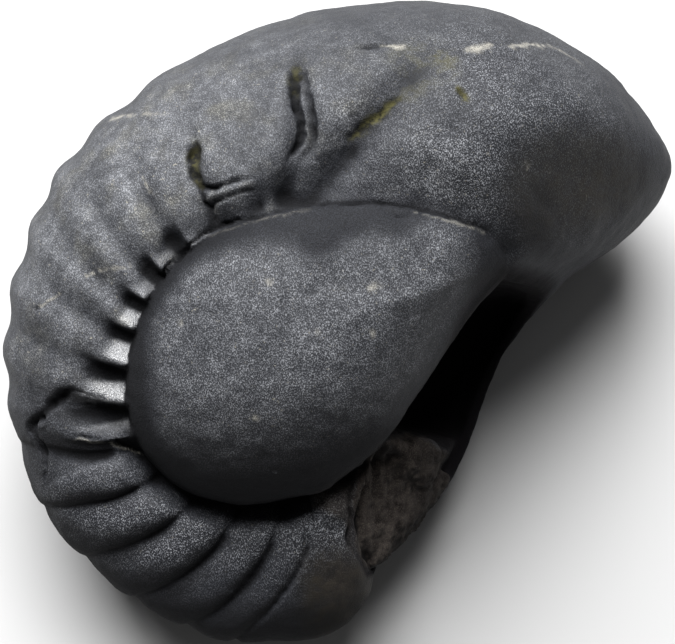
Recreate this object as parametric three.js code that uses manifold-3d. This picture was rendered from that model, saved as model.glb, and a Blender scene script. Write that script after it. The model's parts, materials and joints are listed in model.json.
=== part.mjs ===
// Shaligram: a black, water-worn stone that holds one coiled ammonite. A thick ribbed whorl sweeps
// round a smooth dome and ends in a broad nose, the coil is broken open in a deep mouth under the
// nose, and the lower end of the mouth is still filled with rough matrix. It grew and wore as one
// piece, so it is one solid. It lies on a flat worn facet.
//
// The stone is drawn in a frame of its own: x to the right, y up across the coil, z out of the face
// that carries the dome. At the end it is leaned onto its base facet. Millimetres throughout.

import * as THREE from 'three';
import { mergeVertices } from 'three/addons/utils/BufferGeometryUtils.js';
import Module from 'manifold-3d';

const wasm = await Module();
wasm.setup();

// --- Driving dimensions ---------------------------------------------------------------------------

const LEAN_DEG = 13; // how far the coil's face leans back when the stone rests
const BASE_LEVEL = -26; // where the worn base facet crosses the stone's axis
const DOME_CENTRE = new THREE.Vector2(-4.4, -0.5);
const DOME_TOP = 27;
const FAR_DOME_TOP = -30;
const FAR_SEAM_DEPTH = 1.6; // of the groove round the far dome

// Steps of the mesh: rings across the whorl, and columns along each rib and each smooth station.
const DOME_RINGS = 6;
const NEAR_RINGS = 13;
const FAR_RINGS = 7;
const FAR_DOME_RINGS = 2;
const RIB_COLUMNS = 6;
const SMOOTH_COLUMNS = 4;
const CLEAN_UP = 0.02; // slivers left by the cuts are collapsed within this distance

// Stations round the coil, clockwise from its old, thin end at the bottom. The seam is the edge of
// the dome and the rim is the outline of the whorl.
// seam x, y, rim x, y, dome edge z, shelf z beside it, rim z, near crown z, far crown z,
// share of the width at which the crown is reached, shoulder fullness, rim roundness
const STATIONS = [
  [-14.1, -26.2, -19.4, -46.3, 8.0, 5.0, 0, 10.0, -13, 0.22, 1.8, 2.0],
  [-21.2, -24.5, -32.4, -39.2, 8.5, 7.0, 0, 12.0, -14, 0.22, 1.8, 2.0],
  [-26.6, -20.1, -42.4, -29.2, 10.0, 9.0, 0, 13.0, -16, 0.22, 1.9, 2.0],
  [-29.5, -14.7, -47.4, -17.1, 11.8, 12.6, 0, 14.5, -18, 0.16, 2.0, 2.0],
  [-29.9, -8.2, -49.2, -5.6, 13.8, 15.0, 0, 16.2, -20, 0.15, 2.0, 2.0],
  [-28.6, -1.8, -48.0, 5.5, 15.4, 16.8, 0, 18, -22, 0.15, 2.0, 2.0],
  [-26.0, 4.2, -43.9, 17.5, 17.2, 18.7, 0, 20, -24, 0.15, 2.0, 2.0],
  [-21.8, 9.3, -36.6, 27.9, 18.8, 20.2, -1, 21.5, -26, 0.15, 2.0, 2.0],
  [-16.1, 12.7, -25.6, 36.8, 20.1, 21.5, -2, 23, -28, 0.15, 2.0, 2.0],
  [-8.0, 15.5, -11.2, 43.7, 21.0, 22.5, -3, 24, -30, 0.15, 2.0, 2.0],
  [1.7, 16.5, 4.8, 47.2, 21.6, 23.0, -4, 25, -31, 0.16, 2.0, 2.0],
  [11.5, 15.7, 22.1, 46.6, 21.6, 22.8, -6, 25.5, -31.5, 0.16, 2.0, 1.9],
  [17.8, 13.8, 38.0, 39.5, 20.6, 21.4, -8, 25, -31.5, 0.16, 2.0, 1.8],
  [21.7, 11.5, 47.2, 30.2, 18.9, 19.4, -9, 23, -31, 0.14, 1.7, 1.7],
  [23.5, 9.4, 50.5, 22.7, 17.0, 17.2, -10, 19.0, -28.5, 0.1, 1.5, 1.5],
  [23.8, 7.5, 44.6, 13.5, 15.5, 15.6, -10, 15.0, -27, 0.05, 1.3, 1.4],
  [22.6, 5.7, 33.7, 5.5, 14.5, 14.5, -10, 12.0, -26, 0.05, 1.2, 1.4],
  [17.9, 0.0, 25.8, -3.9, 14.0, 13.0, -10, 9.0, -24.5, 0.05, 1.2, 1.4],
  [13.2, -7.7, 22.0, -12.7, 12.0, 11.0, -10, 8.0, -23, 0.05, 1.2, 1.4],
  [7.8, -15.8, 17.8, -23.0, 10.0, 9.0, -9, 8.0, -20, 0.1, 1.3, 1.5],
  [2.9, -20.7, 10.1, -32.5, 9.0, 7.0, -7, 8.0, -18, 0.15, 1.6, 1.7],
  [0.1, -22.8, 6.0, -36.1, 8.0, 5.0, -4, 8.5, -16, 0.2, 1.8, 1.8],
  [-1.8, -23.8, 4.4, -41.2, 8.0, 4.0, -2, 9.0, -14, 0.22, 1.8, 1.9],
  [-4.5, -24.8, -0.5, -45.7, 8.0, 4.0, -1, 9.5, -13, 0.22, 1.8, 2.0],
  [-8.6, -25.8, -8.8, -47.0, 8.0, 4.0, 0, 10.0, -13, 0.22, 1.8, 2.0],
];

// Where the grooves between ribs leave the dome, in stations. The stretch between the last and the
// first is worn smooth.
const GROOVES = [
  -2.27, -1.09, 0.02, 0.85, 1.68, 2.45, 3.25, 4.06, 4.9, 5.58, 6.25, 7.05, 7.88, 8.76, 9.37,
];
const GROOVE_SHARPNESS = 0.7; // under 1 the grooves are narrower than the ribs between them
const CREST_LEAN = 0.7; // under 1 the crests stand nearer the groove behind them
const ONSET_SHARE = 0.05; // share of the whorl's width over which a groove starts beside the dome

// The stretches of the coil over which ribs stand out differently: from and to which station, how
// softly they take over from each other, how deep the grooves are on the open flank, how much deeper
// they are beside the dome, and whether they swell across the whorl.
const RIB_STRETCHES = [
  { from: -2.5, to: 2.7, soft: 0.5, open: 1, besideDome: 0, swells: true },
  { from: 2.7, to: 7.4, soft: 0.5, open: 0.4, besideDome: 2.2, swells: false },
  { from: 7.4, to: 9, soft: 0.4, open: 0.25, besideDome: 1.2, swells: false },
];
const BESIDE_DOME_SHARE = 0.17; // how far over the whorl's width the depth beside the dome reaches

// How many stations forward a rib has swept by the time it reaches the rim: [station, sweep].
const SWEEPS = [
  [-2.27, 1.9], [-1.09, 1.35], [0.02, 0.8], [0.85, 0.62], [1.68, 0.5], [9.5, 0.55], [12.5, 0],
  [16, 0], [22.74, 1.9],
];
const SWEEP_POWER = 1.6;
const SWEEP_EASING = 0.4; // how much of the sweep is taken up early, so that it straightens at the rim

// From this share of the width outward, relief pulls the flank in and so scallops the outline.
const SCALLOP_FROM = 0.75;
// How bunched the near rings are toward the dome, and how full the dome and the far flank are.
const RING_BUNCHING = 1.15;
const DOME_FULLNESS = 2.1;
const DOME_ROUNDNESS = 1.9;
const FAR_FULLNESS = 2.4;
const FAR_SEAM_SHARE = 0.12; // of the width, taken up by the groove round the far dome

// Worn valleys in the near flank: each a chain of x, y, half width, depth.
const VALLEYS = [
  [[16.4, 37.2, 2.0, 0.0], [11.0, 34.4, 3.0, 1.6], [6.4, 29.2, 3.4, 2.4], [1.6, 23.4, 3.2, 2.6],
    [-1.6, 19.6, 3.0, 2.2], [-4.4, 16.6, 2.4, 1.6]],
  [[-5.8, 36.5, 1.2, 0.3], [-5.4, 31.6, 1.6, 1.3], [-4.4, 26.0, 2.0, 1.6], [-5.8, 21.2, 2.0, 1.8],
    [-7.4, 17.5, 1.8, 1.8]],
  [[-19.8, 25.3, 0.8, 0.3], [-19.1, 20.0, 1.2, 1.0], [-17.2, 15.6, 1.8, 1.4], [-15.5, 13.4, 1.6, 1.2]],
  [[26.5, 13.5, 4.0, 0.4], [29.3, 16.3, 5.0, 1.2], [33.8, 19.8, 5.0, 0.4]],
];

// The blunt end of the nose: two planes that fall away to the right, blended into one hollow face.
// Each is a point on the crest, its height, the direction of fall and the slope.
const END_PLANES = [
  { at: [24.5, 26.5], height: 26.4, toward: [0.669, -0.743], slope: 1.4 },
  { at: [23.0, 12.8], height: 23.2, toward: [0.995, -0.1], slope: 1.0 },
];
const END_FACE_BLEND = 9;
const CREST_BLEND = 9;

// The mouth, in sections from its closed tip under the nose down to the matrix that fills its foot.
// lip x, y, far lip x, y, lip z, far lip z, reach under the dome, floor z, floor z under the dome
const MOUTH_SECTIONS = [
  [23.2, 6.4, 27.0, 5.6, 12.0, 2.0, 3, 1.5, 3],
  [22.4, 5.1, 30.3, 3.6, 12.0, -6.0, 9, -8, -5],
  [18.1, -0.1, 28.1, 0.0, 12.5, -9.5, 17, -14, -11],
  [14.6, -5.6, 24.5, -6.5, 11.5, -10.0, 22, -16, -13],
  [10.5, -12.0, 22.0, -12.7, 10.5, -10.0, 22, -16, -13],
  [8.6, -14.8, 20.8, -16.3, 10.0, -9.5, 18, -15, -12],
  [7.4, -16.5, 19.0, -19.8, 9.5, -9.0, 1.5, -1, 6],
  [4.8, -20.1, 16.0, -24.9, 8.5, -8.0, 1.5, 0, 5],
  [2.2, -26.2, 11.6, -30.5, 6.5, -7.0, 1.2, 0, 3],
  [2.6, -32.4, 8.4, -34.2, 4.0, -6.0, 1, -1, 1],
  [4.2, -36.6, 8.6, -37.4, 1.0, -5.0, 0.8, -2.5, -1.6],
];
const CUT_TOP = 34; // the mouth is open upward past the highest crown
const CUT_OVERREACH = 14; // and outward past the far lip
const LIP_THICKNESS = 1.5; // of the dome's broken edge over the mouth
const GROUND_SIZE = 200; // wider than the stone

// The matrix left in the foot of the mouth: a wall that slopes down to the far lip, and a blunt head
// on its upper end. Each is stretched tight over a few balls: centre x, y, z and radius.
const MATRIX_WALL = [
  [3.4, -21.0, 4.4, 1.4],
  [3.2, -31.0, 3.4, 1.4],
  [4.8, -35.0, 0.4, 1.2],
  [6.6, -34.6, -4.2, 1.0],
  [10.8, -30.2, -4.8, 1.2],
  [15.2, -23.6, -5.4, 1.6],
];
const MATRIX_HEAD = [
  [9.2, -18.8, 1.4, 2.0],
  [13.0, -19.4, -1.2, 2.3],
  [12.6, -22.4, -2.2, 2.4],
  [7.6, -21.6, 1.0, 1.8],
  [10.4, -20.0, -5.0, 3.0],
];
const BALL_FACES = 16; // round each ball

const STONE_MATERIAL = new THREE.MeshStandardMaterial({ color: 0x4a4c50, roughness: 0.6, metalness: 0 });

// --- Small helpers --------------------------------------------------------------------------------

const { clamp, lerp, smoothstep, degToRad, euclideanModulo } = THREE.MathUtils;

// The smaller of a and b, with the corner rounded over the width `blend`.
function smoothMin(a, b, blend) {
  const share = clamp(0.5 + (0.5 * (b - a)) / blend, 0, 1);
  return lerp(b, a, share) - blend * share * (1 - share);
}

// 1 between start and end and 0 outside them, with soft ends.
function windowBetween(value, start, end, soft) {
  return smoothstep(value, start - soft, start + soft) * (1 - smoothstep(value, end - soft, end + soft));
}

// A closed surface through rings of points, with a tip at each end.
function loft(rings, firstTip, lastTip) {
  const count = rings[0].length;
  const points = [firstTip, ...rings.flat(), lastTip];
  const index = [];
  for (let i = 0; i < count; i++) {
    const next = (i + 1) % count;
    index.push(0, 1 + next, 1 + i);
    for (let ring = 0; ring < rings.length - 1; ring++) {
      const here = 1 + ring * count;
      const beyond = here + count;
      index.push(here + i, here + next, beyond + next);
      index.push(here + i, beyond + next, beyond + i);
    }
    const last = 1 + (rings.length - 1) * count;
    index.push(points.length - 1, last + i, last + next);
  }
  const geometry = new THREE.BufferGeometry().setFromPoints(points);
  geometry.setIndex(index);
  return geometry;
}

function toManifold(geometry) {
  const bare = geometry.clone();
  bare.deleteAttribute('normal');
  bare.deleteAttribute('uv');
  const merged = mergeVertices(bare, 1e-5);
  const mesh = new wasm.Mesh({
    numProp: 3,
    vertProperties: new Float32Array(merged.attributes.position.array),
    triVerts: new Uint32Array(merged.index.array),
  });
  return new wasm.Manifold(mesh);
}

function fromManifold(manifold) {
  const mesh = manifold.getMesh();
  const geometry = new THREE.BufferGeometry();
  geometry.setAttribute('position', new THREE.BufferAttribute(new Float32Array(mesh.vertProperties), 3));
  geometry.setIndex(new THREE.BufferAttribute(new Uint32Array(mesh.triVerts), 1));
  return geometry;
}

// --- Relief of the whorl --------------------------------------------------------------------------

// The share of a rib's width that the column at station u lies along, or null off the ribs.
function ribPhase(u) {
  const rib = GROOVES.findIndex((groove) => groove > u) - 1;
  if (rib < 0) return null;
  return (u - GROOVES[rib]) / (GROOVES[rib + 1] - GROOVES[rib]);
}

// How much the grooves deepen on the old lower whorl: they swell a little way out from the dome and
// wear down again toward the rim.
function swellAcross(t) {
  return 1.1 * smoothstep(t, ONSET_SHARE, 0.35) - 0.9 * smoothstep(t, SCALLOP_FROM, 1);
}

// Depth of the relief between ribs on the column that leaves the dome at station u, at the share t of
// the way to the rim. Ribs are strong all across the old lower whorl, strong only beside the dome on
// the left, and fade out toward the nose.
function ribDepth(u, t) {
  const phase = ribPhase(u);
  if (phase === null) return 0;
  const groove = 1 - Math.sin(Math.PI * phase ** CREST_LEAN) ** GROOVE_SHARPNESS;
  const nearness = Math.exp(-((t / BESIDE_DOME_SHARE) ** 2));
  const depth = RIB_STRETCHES.reduce((sum, stretch) => {
    const swell = stretch.swells ? swellAcross(t) : 0;
    const full = stretch.open + stretch.besideDome * nearness + swell;
    return sum + windowBetween(u, stretch.from, stretch.to, stretch.soft) * full;
  }, 0);
  return groove * depth * smoothstep(t, 0, ONSET_SHARE);
}

// Station reached at the share t of the way to the rim by the column that leaves the dome at u.
function sweptStation(u, t) {
  const next = SWEEPS.findIndex(([station]) => station > u);
  if (next < 0) return u;
  const [[from, low], [to, high]] = [SWEEPS[next - 1], SWEEPS[next]];
  const share = t ** SWEEP_POWER * (1 + SWEEP_EASING * (1 - t ** 2));
  return u + lerp(low, high, (u - from) / (to - from)) * share;
}

// Depth of one worn valley at x, y.
function valleyDepth(x, y, chain) {
  let deepest = 0;
  for (let i = 0; i + 1 < chain.length; i++) {
    const [x0, y0, width0, depth0] = chain[i];
    const [x1, y1, width1, depth1] = chain[i + 1];
    const run = (x - x0) * (x1 - x0) + (y - y0) * (y1 - y0);
    const along = clamp(run / ((x1 - x0) ** 2 + (y1 - y0) ** 2), 0, 1);
    const off = Math.hypot(x - lerp(x0, x1, along), y - lerp(y0, y1, along));
    const depth = lerp(depth0, depth1, along) * Math.exp(-((off / lerp(width0, width1, along)) ** 2));
    deepest = Math.max(deepest, depth);
  }
  return deepest;
}

// Height of the blunt end face of the nose above x, y.
function endFaceHeight(x, y) {
  const [steep, inner] = END_PLANES.map(({ at, height, toward, slope }) => {
    const distance = (x - at[0]) * toward[0] + (y - at[1]) * toward[1];
    return height - slope * distance;
  });
  return -smoothMin(-steep, -inner, END_FACE_BLEND);
}

// --- Body of the stone ----------------------------------------------------------------------------

// Smooth closed curves through one triple of station values each.
function stationCurve(values) {
  const points = STATIONS.map((station) => new THREE.Vector3(...values(station)));
  return new THREE.CatmullRomCurve3(points, true, 'catmullrom', 0.5);
}

const SEAM = stationCurve((s) => [s[0], s[1], s[4]]);
const RIM = stationCurve((s) => [s[2], s[3], s[6]]);
const CROWN = stationCurve((s) => [s[5], s[7], s[8]]);
const SECTION = stationCurve((s) => [s[9], s[10], s[11]]);

// The whorl's measurements at a station.
function whorlAt(station) {
  const share = euclideanModulo(station / STATIONS.length, 1);
  const [shelf, near, far] = CROWN.getPoint(share).toArray();
  const [crownAt, shoulder, roundness] = SECTION.getPoint(share).toArray();
  const seam = SEAM.getPoint(share);
  const rim = RIM.getPoint(share);
  return { seam, rim, shelf, near, far, crownAt, shoulder, roundness };
}

// Stations at which the columns of the mesh leave the dome: each rib gets the same number, and each
// groove has a column of its own.
function columnStations() {
  const stations = [];
  for (let rib = 0; rib + 1 < GROOVES.length; rib++) {
    for (let i = 0; i < RIB_COLUMNS; i++) {
      stations.push(lerp(GROOVES[rib], GROOVES[rib + 1], i / RIB_COLUMNS));
    }
  }
  const start = GROOVES.at(-1);
  const end = GROOVES[0] + STATIONS.length;
  const count = Math.round((end - start) * SMOOTH_COLUMNS);
  for (let i = 0; i < count; i++) {
    stations.push(lerp(start, end, i / count));
  }
  return stations;
}

// A point of the dome, `share` of the way out from its top to the seam at station u.
function domePoint(u, share, top, edgeOf) {
  const whorl = whorlAt(u);
  const edge = edgeOf(whorl);
  return new THREE.Vector3(
    lerp(DOME_CENTRE.x, whorl.seam.x, share),
    lerp(DOME_CENTRE.y, whorl.seam.y, share),
    edge + (top - edge) * (1 - share ** DOME_FULLNESS) ** (1 / DOME_ROUNDNESS),
  );
}

function nearDomePoint(u, share) {
  const point = domePoint(u, share, DOME_TOP, (whorl) => whorl.seam.z);
  point.z = smoothMin(point.z, endFaceHeight(point.x, point.y), CREST_BLEND);
  return point;
}

function farDomePoint(u, share) {
  return domePoint(u, share, FAR_DOME_TOP, (whorl) => whorl.far + FAR_SEAM_DEPTH);
}

// A point of the flank at the height z, the share t of the way from the seam to the rim. Relief moves
// it toward the middle of the stone and, close to the rim, pulls it in instead, so that the ribs also
// scallop the outline.
function flankPoint(whorl, t, z, relief, inward) {
  const pullIn = smoothstep(t, SCALLOP_FROM, 1);
  const across = new THREE.Vector2(whorl.rim.x - whorl.seam.x, whorl.rim.y - whorl.seam.y);
  const width = across.length();
  const reach = t * width - relief * pullIn;
  return new THREE.Vector3(
    whorl.seam.x + (across.x / width) * reach,
    whorl.seam.y + (across.y / width) * reach,
    z + inward * relief * (1 - pullIn),
  );
}

function nearFlankPoint(u, t) {
  const whorl = whorlAt(sweptStation(u, t));
  const x = lerp(whorl.seam.x, whorl.rim.x, t);
  const y = lerp(whorl.seam.y, whorl.rim.y, t);
  const crown = lerp(whorl.shelf, whorl.near, smoothstep(t, 0, whorl.crownAt));
  const past = clamp((t - whorl.crownAt) / (1 - whorl.crownAt), 0, 1);
  const full = (1 - past ** whorl.shoulder) ** (1 / whorl.roundness);
  const flank = lerp(whorl.rim.z, crown, full);
  const capped = smoothMin(flank, Math.max(endFaceHeight(x, y), whorl.rim.z), CREST_BLEND);
  const valleys = VALLEYS.reduce((sum, chain) => sum + valleyDepth(x, y, chain), 0);
  const worn = capped - valleys * (1 - smoothstep(t, SCALLOP_FROM, 1));
  return flankPoint(whorl, t, worn, ribDepth(u, t), -1);
}

function farFlankPoint(u, t) {
  const whorl = whorlAt(sweptStation(u, t));
  const groove = FAR_SEAM_DEPTH * Math.exp(-((t / FAR_SEAM_SHARE) ** 2));
  const flank = lerp(whorl.rim.z, whorl.far, Math.sqrt(1 - t ** FAR_FULLNESS)) + groove;
  return flankPoint(whorl, t, flank, ribDepth(u, t) * smoothstep(t, 0.3, 1), 1);
}

function stoneBody() {
  const stations = columnStations();
  const quarterSine = (i, count) => Math.sin(((i / count) * Math.PI) / 2);
  const ring = (pointAt, share) => stations.map((u) => pointAt(u, share));
  const rings = [];
  for (let i = 1; i <= DOME_RINGS; i++) {
    rings.push(ring(nearDomePoint, quarterSine(i, DOME_RINGS)));
  }
  for (let i = 0; i <= NEAR_RINGS; i++) {
    rings.push(ring(nearFlankPoint, quarterSine(i, NEAR_RINGS) ** RING_BUNCHING));
  }
  for (let i = FAR_RINGS - 1; i >= 0; i--) {
    rings.push(ring(farFlankPoint, quarterSine(i, FAR_RINGS)));
  }
  for (let i = FAR_DOME_RINGS - 1; i > 0; i--) {
    rings.push(ring(farDomePoint, quarterSine(i, FAR_DOME_RINGS)));
  }
  const top = new THREE.Vector3(DOME_CENTRE.x, DOME_CENTRE.y, DOME_TOP);
  const bottom = new THREE.Vector3(DOME_CENTRE.x, DOME_CENTRE.y, FAR_DOME_TOP);
  return loft(rings, top, bottom);
}

// --- Mouth ----------------------------------------------------------------------------------------

// One section of the space that is missing: it reaches under the dome behind a thin lip, has a floor
// on the far wall and a thin far lip, and is open outward.
function mouthSection([lipX, lipY, farX, farY, lipZ, farZ, reach, floor, innerFloor]) {
  const lip = new THREE.Vector2(lipX, lipY);
  const across = new THREE.Vector2(farX - lipX, farY - lipY);
  const width = across.length();
  across.normalize();
  const roof = lipZ - LIP_THICKNESS;
  const outline = [
    [-0.8 * reach, innerFloor + 0.1 * reach],
    [-0.35 * reach, innerFloor],
    [0.45 * width, floor],
    [width - 2.6, (farZ + floor) / 2],
    [width - 1.6, farZ + 0.2],
    [width + CUT_OVERREACH, farZ + 1],
    [width + CUT_OVERREACH, CUT_TOP],
    [width / 2, CUT_TOP],
    [0.9, CUT_TOP],
    [0.7, lipZ + 4],
    [0.35, lipZ - 0.3],
    [-0.03 * reach - 0.1, lipZ - 1.3],
    [-0.3 * reach, roof - 0.07 * reach],
    [-0.75 * reach, roof - 0.19 * reach],
    [-reach, roof - 0.34 * reach],
  ];
  return outline.map(([out, z]) => {
    return new THREE.Vector3(lip.x + across.x * out, lip.y + across.y * out, z);
  });
}

function mouthSpace() {
  const sections = MOUTH_SECTIONS.map(mouthSection);
  const middle = (section) => section
    .reduce((sum, point) => sum.add(point), new THREE.Vector3())
    .divideScalar(section.length);
  return loft(sections, middle(sections[0]), middle(sections.at(-1)));
}

function matrixFill() {
  const fill = [MATRIX_WALL, MATRIX_HEAD].map((balls) => {
    return wasm.Manifold.hull(balls.map(([x, y, z, radius]) => {
      return wasm.Manifold.sphere(radius, BALL_FACES).translate(x, y, z);
    }));
  });
  return wasm.Manifold.union(fill).rotate([LEAN_DEG, 0, 0]);
}

// --- Whole stone ----------------------------------------------------------------------------------

// Everything below the worn base facet, in the frame in which the stone rests.
function groundSpace() {
  const level = BASE_LEVEL * Math.cos(degToRad(LEAN_DEG));
  const box = new THREE.BoxGeometry(GROUND_SIZE, GROUND_SIZE, GROUND_SIZE);
  return box.translate(0, 0, level - GROUND_SIZE / 2);
}

function shaligramGeometry() {
  const lean = degToRad(LEAN_DEG);
  const hollowed = toManifold(stoneBody().rotateX(lean))
    .subtract(toManifold(mouthSpace().rotateX(lean)))
    .add(matrixFill())
    .subtract(toManifold(groundSpace()))
    .simplify(CLEAN_UP);
  const geometry = fromManifold(hollowed);
  geometry.computeBoundingBox();
  const { min, max } = geometry.boundingBox;
  geometry.translate(-(min.x + max.x) / 2, -(min.y + max.y) / 2, -min.z);
  geometry.computeVertexNormals();
  return geometry;
}

const stone = new THREE.Mesh(shaligramGeometry(), STONE_MATERIAL);
stone.name = 'shaligram_stone';

const shaligram = new THREE.Group();
shaligram.name = 'shaligram';
shaligram.add(stone);

export default shaligram;
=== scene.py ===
import json
import math

import bpy
import numpy as np
from mathutils import Matrix, Vector, noise
from mathutils.bvhtree import BVHTree
from mathutils.kdtree import KDTree

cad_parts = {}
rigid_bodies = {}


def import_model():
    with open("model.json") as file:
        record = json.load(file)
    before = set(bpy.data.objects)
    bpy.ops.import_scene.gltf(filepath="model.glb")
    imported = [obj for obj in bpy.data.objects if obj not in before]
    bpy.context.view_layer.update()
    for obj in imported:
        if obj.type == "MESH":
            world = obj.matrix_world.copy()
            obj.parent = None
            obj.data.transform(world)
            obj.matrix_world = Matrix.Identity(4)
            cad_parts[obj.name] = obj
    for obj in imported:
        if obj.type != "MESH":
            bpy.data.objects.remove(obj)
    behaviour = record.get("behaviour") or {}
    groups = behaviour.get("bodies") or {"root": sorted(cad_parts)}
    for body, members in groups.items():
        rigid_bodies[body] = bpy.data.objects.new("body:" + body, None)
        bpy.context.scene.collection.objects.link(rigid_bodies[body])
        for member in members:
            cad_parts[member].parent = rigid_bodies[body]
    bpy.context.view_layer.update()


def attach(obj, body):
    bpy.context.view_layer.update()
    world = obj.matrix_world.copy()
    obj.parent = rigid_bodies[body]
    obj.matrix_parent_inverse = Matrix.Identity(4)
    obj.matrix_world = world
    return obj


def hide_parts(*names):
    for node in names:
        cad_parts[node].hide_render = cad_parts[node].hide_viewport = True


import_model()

bpy.ops.object.select_all(action="DESELECT")

# ==== The coil ====================================================================================
# A shell of an ammonite turned to black shale: a thick whorl that runs clockwise round a smooth
# dome, from its old thin end at the bottom to a broad nose at the upper right. A river wore it
# smooth. It is drawn in millimetres in a frame of its own, x right, y up across the coil, z out of
# the face with the dome, and is leaned into its resting place at the end.

# seam x, y, rim x, y, dome edge z, shelf z, rim z, near crown z, far crown z,
# share of the width at which the crown is reached, shoulder fullness, rim roundness
STATIONS = np.array([
    (-14.1, -26.2, -19.4, -46.3, 8, 5, 0, 10, -13, 0.22, 1.8, 2),
    (-21.2, -24.5, -32.4, -39.2, 8.5, 7, 0, 12, -14, 0.22, 1.8, 2),
    (-26.6, -20.1, -42.4, -29.2, 10, 9, 0, 13, -16, 0.22, 1.9, 2),
    (-29.5, -14.7, -47.4, -17.1, 11.8, 12.6, 0, 14.5, -18, 0.16, 2, 2),
    (-29.9, -8.2, -49.2, -5.6, 13.8, 15, 0, 16.2, -20, 0.15, 2, 2),
    (-28.6, -1.8, -48, 5.5, 15.4, 16.8, 0, 18, -22, 0.15, 2, 2),
    (-26, 4.2, -43.9, 17.5, 17.2, 18.7, 0, 20, -24, 0.15, 2, 2),
    (-21.8, 9.3, -36.6, 27.9, 18.8, 20.2, -1, 21.5, -26, 0.15, 2, 2),
    (-16.1, 12.7, -25.6, 36.8, 20.5, 21.5, -2, 23, -28, 0.15, 2, 2),
    (-8, 15.5, -11.2, 43.7, 21.7, 22.5, -3, 24, -30, 0.2, 2, 2),
    (1.7, 16.5, 4.8, 47.2, 22.5, 23, -4, 25, -31, 0.28, 2, 2),
    (11.5, 15.7, 22.1, 46.6, 22.5, 22.8, -6, 25.5, -31.5, 0.28, 2, 1.9),
    (17.8, 13.8, 38, 39.5, 21.2, 21.4, -8, 25, -31.5, 0.24, 2, 1.8),
    (21.7, 11.5, 47.2, 30.2, 18.9, 19.4, -9, 23, -31, 0.14, 1.7, 1.7),
    (23.5, 9.4, 50.5, 22.7, 17, 17.2, -10, 19, -28.5, 0.1, 1.5, 1.5),
    (23.8, 7.5, 44.6, 13.5, 15.5, 15.6, -10, 15, -27, 0.05, 1.3, 1.4),
    (22.6, 5.7, 33.7, 5.5, 14.5, 14.5, -10, 12, -26, 0.05, 1.2, 1.4),
    (17.9, 0, 25.8, -3.9, 14, 13, -10, 9, -24.5, 0.05, 1.2, 1.4),
    (13.2, -7.7, 22, -12.7, 12, 11, -10, 8, -23, 0.05, 1.2, 1.4),
    (7.8, -15.8, 17.8, -23, 10, 9, -9, 8, -20, 0.1, 1.3, 1.5),
    (2.9, -20.7, 10.1, -32.5, 9, 7, -7, 8, -18, 0.15, 1.6, 1.7),
    (0.1, -22.8, 6, -36.1, 8, 5, -4, 8.5, -16, 0.2, 1.8, 1.8),
    (-1.8, -23.8, 4.4, -41.2, 8, 4, -2, 9, -14, 0.22, 1.8, 1.9),
    (-4.5, -24.8, -0.5, -45.7, 8, 4, -1, 9.5, -13, 0.22, 1.8, 2),
    (-8.6, -25.8, -8.8, -47, 8, 4, 0, 10, -13, 0.22, 1.8, 2),
])
DOME_MIDDLE = (-4.4, -0.5)
DOME_TOP = 27
FAR_DOME_TOP = -30
FAR_SEAM_DEPTH = 1.6

# stations at which the grooves between ribs leave the dome, and how far they sweep forward
GROOVES = np.array([
    -2.27, -1.09, 0.02, 0.85, 1.68, 2.45, 3.25, 4.06, 4.9, 5.58, 6.25, 7.05, 7.88, 8.76, 9.37,
])
SWEEPS = np.array([
    (-2.27, 1.9), (-1.09, 1.35), (0.02, 0.8), (0.85, 0.62), (1.68, 0.5), (9.5, 0.55), (12.5, 0),
    (16, 0), (22.73, 1.9),
])

# worn valleys of the near flank: x, y, half width, depth
VALLEYS = [
    [(16.4, 37.2, 2, 0), (11, 34.4, 3, 1.6), (6.4, 29.2, 3.4, 2.4), (1.6, 23.4, 3.2, 2.6),
     (-1.6, 19.6, 3, 2.2), (-4.4, 16.6, 2.4, 1.6)],
    [(-5.8, 36.5, 1.2, 0.3), (-5.4, 31.6, 1.6, 1.3), (-4.4, 26, 2, 1.6), (-5.8, 21.2, 2, 1.8),
     (-7.4, 17.5, 1.8, 1.8)],
    [(-19.8, 25.3, 0.8, 0.3), (-19.1, 20, 1.2, 1), (-17.2, 15.6, 1.8, 1.4), (-15.5, 13.4, 1.6, 1.2)],
    [(26.5, 13.5, 4, 0.4), (29.3, 16.3, 5, 1.2), (33.8, 19.8, 5, 0.4)],
]


def smoothstep(value, low, high):
    """0 below low, 1 above high, and a smooth climb from one to the other."""
    t = np.clip((value - low) / (high - low), 0, 1)
    return t * t * (3 - 2 * t)


def between(value, start, end, soft):
    """1 from start to end and 0 outside, with both ends spread over twice the soft width."""
    return smoothstep(value, start - soft, start + soft) * (1 - smoothstep(value, end - soft, end + soft))


def smooth_min(a, b, blend):
    """The lesser of a and b, with a smooth turn where they cross."""
    share = np.clip(0.5 + 0.5 * (b - a) / blend, 0, 1)
    return b + (a - b) * share - blend * share * (1 - share)


def spline(a, b, c, d, t):
    """The smooth way from b to c that comes from a and goes on to d."""
    return 0.5 * (2 * b + (c - a) * t + (2 * a - 5 * b + 4 * c - d) * t**2 + (3 * b - a - 3 * c + d) * t**3)


def curve_through(points, u):
    """A smooth closed curve through the points, read at u, in steps from point to point."""
    count = len(points)
    start = np.floor(u)
    a, b, c, d = (points[(start.astype(int) + step) % count] for step in (-1, 0, 1, 2))
    return spline(a, b, c, d, (u - start)[..., None])


def open_curve(points, place):
    """A smooth curve from the first point to the last, read at place, in steps from point to point."""
    last = len(points) - 1
    i = np.minimum(np.floor(place).astype(int), last - 1)
    a, b, c, d = (points[np.clip(i + step, 0, last)] for step in (-1, 0, 1, 2))
    return spline(a, b, c, d, (place - i)[..., None])


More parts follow.
